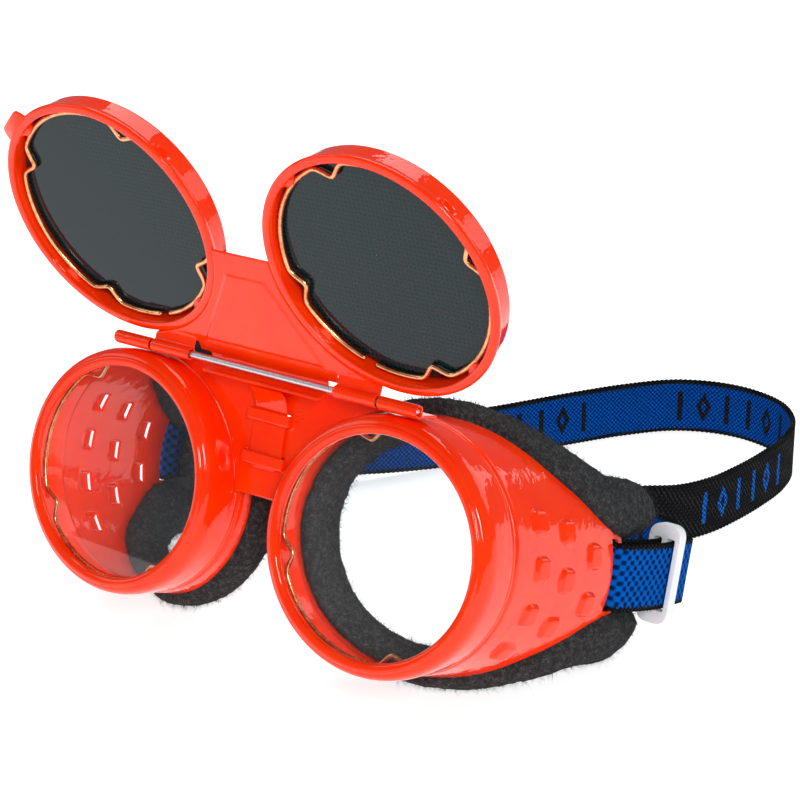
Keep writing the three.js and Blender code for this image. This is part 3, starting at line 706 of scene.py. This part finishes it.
def add_tab(obj, rim):
    """The lifting tab stands out of the left-hand rim."""
    corners = [(26.7, -4.9), (29.0, -4.2), (29.9, -3.4), (29.9, 3.4), (29.0, 4.2), (26.7, 4.9)]
    outline = soften(corners, 0.9, 5)
    low, high = rim - 0.75, rim - 0.05
    rings = []
    levels = [(low, 0.2), (low + 0.12, 0.04), (low + 0.3, 0)]
    levels += [(high - 0.3, 0), (high - 0.12, 0.04), (high, 0.2)]
    for y, inset in levels:
        middle = outline.mean(0)
        shrunk = middle + (outline - middle) * (1 - inset / 4)
        rings.append(np.stack([shrunk[:, 0], np.full(len(outline), y), shrunk[:, 1]], -1))
    points = np.array(rings)
    faces = [tuple(f) for f in quads(len(rings), len(outline), False, True)]
    last = (len(rings) - 1) * len(outline)
    faces += [tuple(range(len(outline))), tuple(last + k for k in reversed(range(len(outline))))]
    tab = new_object("tab", points, faces, filter_seat(-1) @ Matrix.Rotation(math.radians(135), 4, "Y"))
    settle(tab, 60)
    mesh = bmesh.new()
    mesh.from_mesh(obj.data)
    mesh.from_mesh(tab.data)
    mesh.to_mesh(obj.data)
    mesh.free()
    bpy.data.objects.remove(tab)


def retaining_wire(name, place, body, ring_r, kink_depth, wire_r, y, first_kink, gap_angle, node):
    angle = gap_angle + 4 + np.linspace(0, 352, 700)
    nearest = np.abs(((angle - first_kink) % 90 + 135) % 90 - 45)
    kink = np.maximum(0, 1.12 - nearest / 7.5)
    kernel = np.hanning(19)
    kink = np.convolve(np.pad(kink, 9, mode="edge"), kernel / kernel.sum(), "valid")
    r = ring_r - kink_depth * kink
    a = np.radians(angle)
    points, faces = sweep(np.stack([r * np.cos(a), y + 0.12 * np.sin(3 * a), r * np.sin(a)], -1), wire_r, 12)
    obj = new_object(name, points, faces, place)
    finish_piece(settle(obj, 60), COPPER, body, node)


def lenses_and_wires():
    for side in (-1, 1):
        tag = "left" if side < 0 else "right"
        plain = lens_seat(side)
        lens = glass_disc(f"{tag}_cover_lens", LENS_R, LENS_FRONT, LENS_FRONT + LENS_T, plain)
        finish_piece(lens, CLEAR, "frame", f"{tag}_clear_lens")
        seat = filter_seat(side)
        dark = glass_disc(f"{tag}_dark_filter", LENS_R, FILTER_BACK - FILTER_T, FILTER_BACK, seat)
        finish_piece(dark, DARK, "front", f"{tag}_filter")
        kink, gap_at = (31, 60) if side < 0 else (17, 330)
        retaining_wire(f"{tag}_lens_spring", plain, "frame", 24.35, 2.4, 0.45,
                       LENS_FRONT + LENS_T + GAP + 0.5, kink, gap_at, f"{tag}_lens_wire")
        kink, gap_at = (23, 75) if side < 0 else (-19, 110)
        retaining_wire(f"{tag}_filter_spring", seat, "front", 24.8, 2.9, 0.56,
                       FILTER_BACK + GAP + 0.6, kink, gap_at, f"{tag}_filter_wire")


# ---------------------------------------------------------------- felt face seals
bar_local = Matrix.Rotation(CUP_TOE, 4, "Z") @ Vector(shield_point(BAR_DEPTH, 0, -SHEET / 2))
BAR_X = bar_local.x + LENS_SPACING / 2
BAR_Y = bar_local.y
STRAP_Z = bar_local.z

TUCK_FROM, TUCK_TO = 7.6, 8.3   # distance from the strap's middle where the felt starts to stand proud
BULGE = 9                        # how much further back the felt reaches just above and below the strap

HELD_T, HELD_REACH = 1.8, 10.5   # what the cloth run holds: next to the steel, and beside the strap
CLOTH_SCALE = 20                 # the cloth run works on an enlarged copy, where its solver is steady
CLOTH_PRESSURE = 3.0
CLOTH_STEPS = 14
FLOOR_CLEARANCE = 0.05
SWELL_CAP = 0.7                  # the furthest that a point of the felt may move

SEAL_SECTION = [
    (-2, -1.15), (-2, -4.2), (1.4, -5.7), (7.4, -5.6), (10.5, -2.0), (9.6, 1.9), (6, 3.2), (1.6, 2.7),
    (0.45, -1.15),
]


def wrap(angle):
    return (angle + 180) % 360 - 180


def face_seal(side):
    tag = "left" if side < 0 else "right"
    section = soften(SEAL_SECTION, 2.0, 3)
    sections, held = [], []
    stations = 240
    rng = np.random.default_rng(7 if side < 0 else 11)
    lumps = rng.normal(size=(6, 3))
    for i in range(stations):
        angle = i * 360 / stations - 180
        base = shield_point(edge_depth(angle), angle, 0)
        ahead = shield_point(edge_depth(wrap(angle + 2.5)), angle + 2.5, 0)
        behind = shield_point(edge_depth(wrap(angle - 2.5)), angle - 2.5, 0)
        a = math.radians(angle + TONGUE_LIFT)
        normal = np.array([math.cos(a), 0, math.sin(a)])
        along = (ahead - behind) / np.linalg.norm(ahead - behind)
        away = np.cross(normal, along)
        away /= np.linalg.norm(away) * (1 if away[1] > 0 else -1)
        swell = sum(c[0] * math.sin((k + 2) * a + c[1]) for k, c in enumerate(lumps)) * 0.12
        t, n = section[:, 0], section[:, 1]
        t = t + np.where(t > 5, swell, 0)
        flat = base + np.outer(t, away)
        reach = np.abs(flat[:, 2] - STRAP_Z) if abs(angle) < 60 else np.full(len(t), 99.0)
        tucked = 1 - smoothstep(reach, TUCK_FROM, TUCK_TO)
        bulge = smoothstep(reach, 7.6, 9) * (1 - smoothstep(reach, 11, 22)) * smoothstep(t, 1, 10)
        flat = flat + np.outer(BULGE * bulge, away)
        low = -4.2 + 0.6 * (n - 3.2)
        off = n + (low - n) * tucked + np.where(t > 3, swell * 0.5, 0) * (1 - tucked)
        sections.append(flat + np.outer(off, normal))
        held.append((section[:, 0] < HELD_T) | (reach < HELD_REACH))
    points = np.array(sections)
    obj = new_object(f"{tag}_felt_roll", points, quads(stations, len(section), True, True), eye_seat(side))
    settle(obj, 180, 1e-9)
    swell_felt(obj, np.flatnonzero(np.array(held).ravel()))
    add_modifier(obj, "SUBSURF", levels=1, render_levels=1)
    apply_modifiers(obj)
    roughen(obj, rng)
    settle(obj, 180)
    finish_piece(obj, FELT, "frame", f"{tag}_face_seal")
    felt_fibres(obj, f"{tag}_felt_fuzz", side)


def swell_felt(obj, held):
    """A short cloth run under pressure. The felt is held on the steel's edge and beside the strap."""
    mesh, scene = obj.data, bpy.context.scene
    count = len(mesh.vertices)
    start = np.empty(count * 3, dtype=np.float32)
    mesh.vertices.foreach_get("co", start)
    mesh.vertices.foreach_set("co", start * CLOTH_SCALE)
    obj.vertex_groups.new(name="held").add([int(k) for k in held], 1.0, "REPLACE")
    cloth = add_modifier(obj, "CLOTH")
    rules = cloth.settings
    rules.quality, rules.mass, rules.air_damping = 5, 0.3, 5.0
    rules.tension_stiffness = rules.compression_stiffness = 8.0
    rules.shear_stiffness, rules.bending_stiffness = 5.0, 1.5
    rules.vertex_group_mass = "held"
    rules.use_pressure, rules.uniform_pressure_force = True, CLOTH_PRESSURE
    rules.effector_weights.gravity = 0
    cloth.collision_settings.use_collision = False
    cloth.collision_settings.use_self_collision = False
    for step in range(1, CLOTH_STEPS + 1):
        scene.frame_set(step)
    swollen = obj.evaluated_get(bpy.context.evaluated_depsgraph_get()).to_mesh()
    end = np.empty(count * 3, dtype=np.float32)
    swollen.vertices.foreach_get("co", end)
    obj.modifiers.remove(cloth)
    obj.vertex_groups.clear()
    scene.frame_set(1)
    move = end.reshape(-1, 3) / CLOTH_SCALE - start.reshape(-1, 3)
    far = np.linalg.norm(move, axis=1)[:, None]
    move *= np.minimum(1, SWELL_CAP * MM / np.maximum(far, 1e-9))
    mesh.vertices.foreach_set("co", (start.reshape(-1, 3) + move).ravel())
    mesh.update()


def roughen(obj, rng):
    """Turns the smooth roll into matted wool: soft lumps of a few millimetres and a fine nap."""
    mesh = obj.data
    count = len(mesh.vertices)
    co = np.empty(count * 3, dtype=np.float32)
    mesh.vertices.foreach_get("co", co)
    co = co.reshape(-1, 3)
    normals = np.empty(count * 3, dtype=np.float32)
    mesh.vertices.foreach_get("normal", normals)
    lumps = np.array([noise.fractal(Vector(p) / MM * 0.35, 0.7, 2.0, 3) for p in co.tolist()])
    push = 0.22 * lumps + rng.normal(size=count) * 0.07
    co += normals.reshape(-1, 3) * (push * MM)[:, None]
    co[:, 2] = np.maximum(co[:, 2], FLOOR_CLEARANCE * MM)
    mesh.vertices.foreach_set("co", co.ravel())
    mesh.update()


def felt_fibres(seal, name, side):
    """Short loose fibres all over the felt, each a thin closed tapered bar."""
    rng = np.random.default_rng(23 + side)
    data = seal.data
    data.calc_loop_triangles()
    corners = np.array([[data.vertices[i].co[:] for i in tri.vertices] for tri in data.loop_triangles])
    cross = np.cross(corners[:, 1] - corners[:, 0], corners[:, 2] - corners[:, 0])
    area = np.linalg.norm(cross, axis=1) / 2
    count = FIBRES
    pick = rng.choice(len(area), count, p=area / area.sum())
    mix = rng.dirichlet((1, 1, 1), count)
    root = (corners[pick] * mix[:, :, None]).sum(1)
    normal = cross[pick] / (2 * area[pick, None])
    sway = rng.normal(size=(count, 3)) * 0.75
    lean = normal + sway
    lean /= np.linalg.norm(lean, axis=1)[:, None]
    length = rng.uniform(0.5, 1.9, count)[:, None] * MM
    bend = rng.normal(size=(count, 3)) * 0.35
    middle = root + lean * length * 0.55
    tip = root + (lean + bend) * length
    root = root - normal * 0.15 * MM
    width = rng.uniform(0.018, 0.034, count)[:, None] * MM
    one = np.cross(lean, rng.normal(size=(count, 3)))
    one /= np.linalg.norm(one, axis=1)[:, None]
    two = np.cross(lean, one)
    rings = []
    for point, size in ((root, 1.0), (middle, 0.9), (tip, 0.35)):
        for turn in (0, 2.094, 4.189):
            rings.append(point + (one * math.cos(turn) + two * math.sin(turn)) * width * size)
    points = np.stack(rings, 1)
    points[..., 2] = np.maximum(points[..., 2], FLOOR_CLEARANCE * MM)
    sides = [(0, 1, 4, 3), (1, 2, 5, 4), (2, 0, 3, 5), (3, 4, 7, 6), (4, 5, 8, 7), (5, 3, 6, 8)]
    pattern = sides + [(2, 1, 0), (6, 7, 8)]
    faces = [tuple(k + 9 * i for k in face) for i in range(count) for face in pattern]
    obj = new_object(name, points, faces)
    finish_piece(obj, FELT, "frame")


# ---------------------------------------------------------------- pressed steel plates
def rounded_plate(name, node, axes, voxel, body):
    """The node's own shape with every edge rounded as thick enamel rounds it."""
    obj = bpy.data.objects.new(name, frame["nodes"][node].data.copy())
    bpy.context.scene.collection.objects.link(obj)
    obj.data.transform(axes.inverted())
    obj.data.materials.clear()
    settle(obj, 180, 1e-4)
    add_modifier(obj, "REMESH", mode="VOXEL", voxel_size=voxel, use_smooth_shade=True)
    add_modifier(obj, "SMOOTH", factor=0.5, iterations=4)
    apply_modifiers(obj)
    obj.data.transform(axes)
    for polygon in obj.data.polygons:
        polygon.use_smooth = True
    finish_piece(obj, ENAMEL, body, node)


def hinge_parts():
    voxel = VOXEL
    rounded_plate("bridge_plate", "nose_bridge", cup_axes, voxel, "frame")
    rounded_plate("lifting_plate", "flip_plate", raised_axes, voxel, "front")
    path = [(x, HINGE_Y, HINGE_Z) for x in np.linspace(-KNUCKLE_END + 0.9, KNUCKLE_END - 0.9, 60)]
    points, faces = sweep(path, ROD_R, 24)
    rod = settle(new_object("hinge_wire", points, faces, cup_axes), 60)
    finish_piece(rod, STEEL, "frame", "hinge_rod")


def leaf_spring():
    bends = [(7.25, 8.2), (7.25, 12), (7.25, 17), (7.2, 20.4), (6.5, 22.8), (5.2, 24.7), (3.6, 25.75)]
    side_view = centripetal(bends, 8)
    tangent = np.gradient(side_view, axis=0)
    tangent /= np.linalg.norm(tangent, axis=1)[:, None]
    normal = np.stack([-tangent[:, 1], tangent[:, 0]], -1)
    section = soften([(-4.3, -0.2), (4.3, -0.2), (4.3, 0.2), (-4.3, 0.2)], 0.16, 3)
    sections = []
    for k, (point, off) in enumerate(zip(side_view, normal)):
        narrow = 1 - 0.28 * (1 - smoothstep(k, 0, 3))
        sections.append([(x * narrow, *(point + off * n)) for x, n in section])
    count = len(section)
    faces = [tuple(f) for f in quads(len(sections), count, False, True)]
    last = (len(sections) - 1) * count
    faces += [tuple(range(count)), tuple(last + k for k in reversed(range(count)))]
    obj = new_object("leaf_spring", sections, faces, cup_axes)
    finish_piece(settle(obj), ENAMEL, "frame", "detent_spring")


# ---------------------------------------------------------------- head strap and slider
def on_table(x, y, z):
    return (x, y * math.cos(LEAN) + z * math.sin(LEAN), -y * math.sin(LEAN) + z * math.cos(LEAN))


REST_Z = -31.9                  # the strap's middle height where its lower edge is at the lowest level
SLIDER_Y = 70
OUTER_X, INNER_X = 67.4, 64.2   # where the slider holds the strap's two layers


def beside(side, x, y):
    return (*on_table(side * x, y, STRAP_Z), 1)


def bar_loop(side, outer_first):
    points = []
    for k in range(7):
        a = math.radians(-30 * k if outer_first else -180 + 30 * k)
        points.append(beside(side, BAR_X - 0.6 + 2.4 * math.cos(a), BAR_Y + 0.5 + 2.4 * math.sin(a)))
    return points


ROUTE = [
    beside(1, 66.4, 80.5), beside(1, 66.9, 75), beside(1, OUTER_X, SLIDER_Y), beside(1, 67.1, 64),
    beside(1, 66.1, 58.5),
    *bar_loop(1, True),
    beside(1, 61.8, 58.5), beside(1, 63.6, 64), beside(1, INNER_X, SLIDER_Y), beside(1, 63.72, 75),
    beside(1, 63.2, 80.5),
    (60.8, 82.5, -27.2, 0.7), (55.8, 89, -28, 0.4), (48, 92.4, -28.4, 0.2), (40.5, 94.4, -28.8, 0.1),
    (35, 97.8, -29.3, 0), (33.8, 103.2, -29.8, 0), (37.6, 108.6, -30.5, 0), (42.8, 115.8, -31.4, 0),
    (46.4, 125.5, REST_Z, 0), (48.4, 137, REST_Z, 0), (49.2, 149, REST_Z, 0), (48.8, 161, REST_Z, 0),
    (45.4, 173, REST_Z, 0), (37, 182.8, REST_Z, 0), (26, 186.8, REST_Z, 0), (15.6, 186.2, REST_Z, 0),
    (5.4, 181.2, REST_Z, 0), (-3.7, 170.4, REST_Z, 0), (-12.4, 156, REST_Z, 0), (-21, 140, REST_Z, 0),
    (-29.5, 125, REST_Z, 0), (-38.6, 110.5, -31, 0.1), (-48, 97, -29.4, 0.3), (-56, 85, -27.8, 0.6),
    (-60.9, 75.5, -25.6, 0.9),
    beside(-1, 62.5, 70), beside(-1, 62.4, 64), beside(-1, 61.4, 58.8),
    *bar_loop(-1, False),
    beside(-1, 65.2, 58.8), beside(-1, 64.9, 64), beside(-1, 64.6, 71),
]


def head_strap():
    route = np.array(ROUTE)
    path = centripetal(route[:, :3], 40)
    leaned = np.interp(np.arange(len(path)) / 40, np.arange(len(route)), route[:, 3]) * LEAN
    walked = np.concatenate([[0], np.cumsum(np.linalg.norm(np.diff(path, axis=0), axis=1))])
    stations = np.arange(0, walked[-1], 0.33)
    path = np.stack([np.interp(stations, walked, path[:, k]) for k in range(3)], -1)
    leaned = np.interp(stations, walked, leaned)
    tangent = np.gradient(path, axis=0)
    tangent /= np.linalg.norm(tangent, axis=1)[:, None]
    up = np.stack([0 * leaned, np.sin(leaned), np.cos(leaned)], -1)
    up -= tangent * (up * tangent).sum(1)[:, None]
    up /= np.linalg.norm(up, axis=1)[:, None]
    normal = np.cross(tangent, up)
    half_w, half_t = STRAP_W / 2, STRAP_T / 2
    across = np.linspace(-half_w + 0.35, half_w - 0.35, 17)
    thick = np.full(17, half_t - 0.08)
    rim_w, rim_t = half_w - 0.05, half_t * 0.55
    section = [(v, t) for v, t in zip(across, thick)] + [(rim_w, rim_t), (half_w, 0), (rim_w, -rim_t)]
    section += [(v, -t) for v, t in zip(across[::-1], thick)]
    section += [(-rim_w, -rim_t), (-half_w, 0), (-rim_w, rim_t)]
    section = np.array(section)
    count = len(section)
    # The selvedges are scalloped by the rubber threads that gather them.
    gather = np.sin(stations * 2 * math.pi / SCALLOP_PITCH)
    scallop = 1 + 0.012 * gather
    edge = np.abs(section[:, 0]) > half_w - 0.4
    u = section[None, :, 0] * np.where(edge[None, :], scallop[:, None], 1)
    puff = 0.05 * gather[:, None] * np.where(edge, 1, 0.6)[None, :]
    n = section[None, :, 1] + np.sign(section[None, :, 1]) * puff
    points = path[:, None] + u[..., None] * up[:, None] + n[..., None] * normal[:, None]
    faces = quads(len(stations), count, False, True)
    last = (len(stations) - 1) * count
    face_list = [tuple(f) for f in faces]
    face_list += [tuple(range(count)), tuple(last + k for k in reversed(range(count)))]
    obj = new_object("elastic_webbing", points, face_list, table_axes)
    layer = obj.data.uv_layers.new(name="mm")
    vertex = np.zeros(len(obj.data.loops), int)
    obj.data.loops.foreach_get("vertex_index", vertex)
    uv = np.stack([stations[vertex // count], section[vertex % count, 0]], -1)
    layer.data.foreach_set("uv", uv.ravel())
    middle_n = section[:, 1][faces % count].mean(1)
    side = np.where(middle_n > 0.01, 1, 0)
    index = np.concatenate([side, [0, 0]]).astype(np.int32)
    finish_piece(obj, [BLUE, BLACK], "frame", "head_strap")
    obj.data.polygons.foreach_set("material_index", index)
    for polygon in obj.data.polygons:
        polygon.use_smooth = True
    obj.data.update()


def strap_slider():
    """A moulded three-bar slider: rounded all over, with a slot for each strap layer."""
    half_t, half_h, half_l = 3.8, 11.2, 1.5
    middle = on_table((OUTER_X + INNER_X) / 2, SLIDER_Y, STRAP_Z)
    place = table_axes @ Matrix.Translation(middle) @ Matrix.Rotation(-LEAN, 4, "X")
    outline = soften([(-half_t, -half_h), (half_t, -half_h), (half_t, half_h), (-half_t, half_h)], 3.1, 10)

    def slab(name, ring, y0, y1):
        count = len(ring)
        points = [(x, y, z) for y in (y0, y1) for x, z in ring]
        faces = [tuple(range(count)), tuple(count + k for k in reversed(range(count)))]
        faces += [(k, (k + 1) % count, count + (k + 1) % count, count + k) for k in range(count)]
        return settle(new_object(name, points, faces), 180, 1e-6)

    body = slab("moulded_slider", outline, -half_l, half_l)
    cutters = []
    for side in (-1, 1):
        x0, x1 = side * 1.6 - 1, side * 1.6 + 1
        ring = soften([(x0, -8.1), (x1, -8.1), (x1, 8.1), (x0, 8.1)], 0.5, 4)
        cutter = slab("cutter", ring, -half_l - 1, half_l + 1)
        add_modifier(body, "BOOLEAN", operation="DIFFERENCE", object=cutter, solver="EXACT")
        cutters.append(cutter)
    add_modifier(body, "BEVEL", width=0.42, segments=4, limit_method="ANGLE", angle_limit=math.radians(50))
    bpy.context.view_layer.update()
    apply_modifiers(body)
    for cutter in cutters:
        bpy.data.objects.remove(cutter)
    body.data.transform(place)
    finish_piece(settle(body, 40), WHITE, "slider", "strap_slider")


# ---------------------------------------------------------------- everything
for which in (-1, 1):
    eye_cup(which)
    lens_bezel(which)
    filter_cup(which)
    face_seal(which)
lenses_and_wires()
hinge_parts()
leaf_spring()
head_strap()
strap_slider()
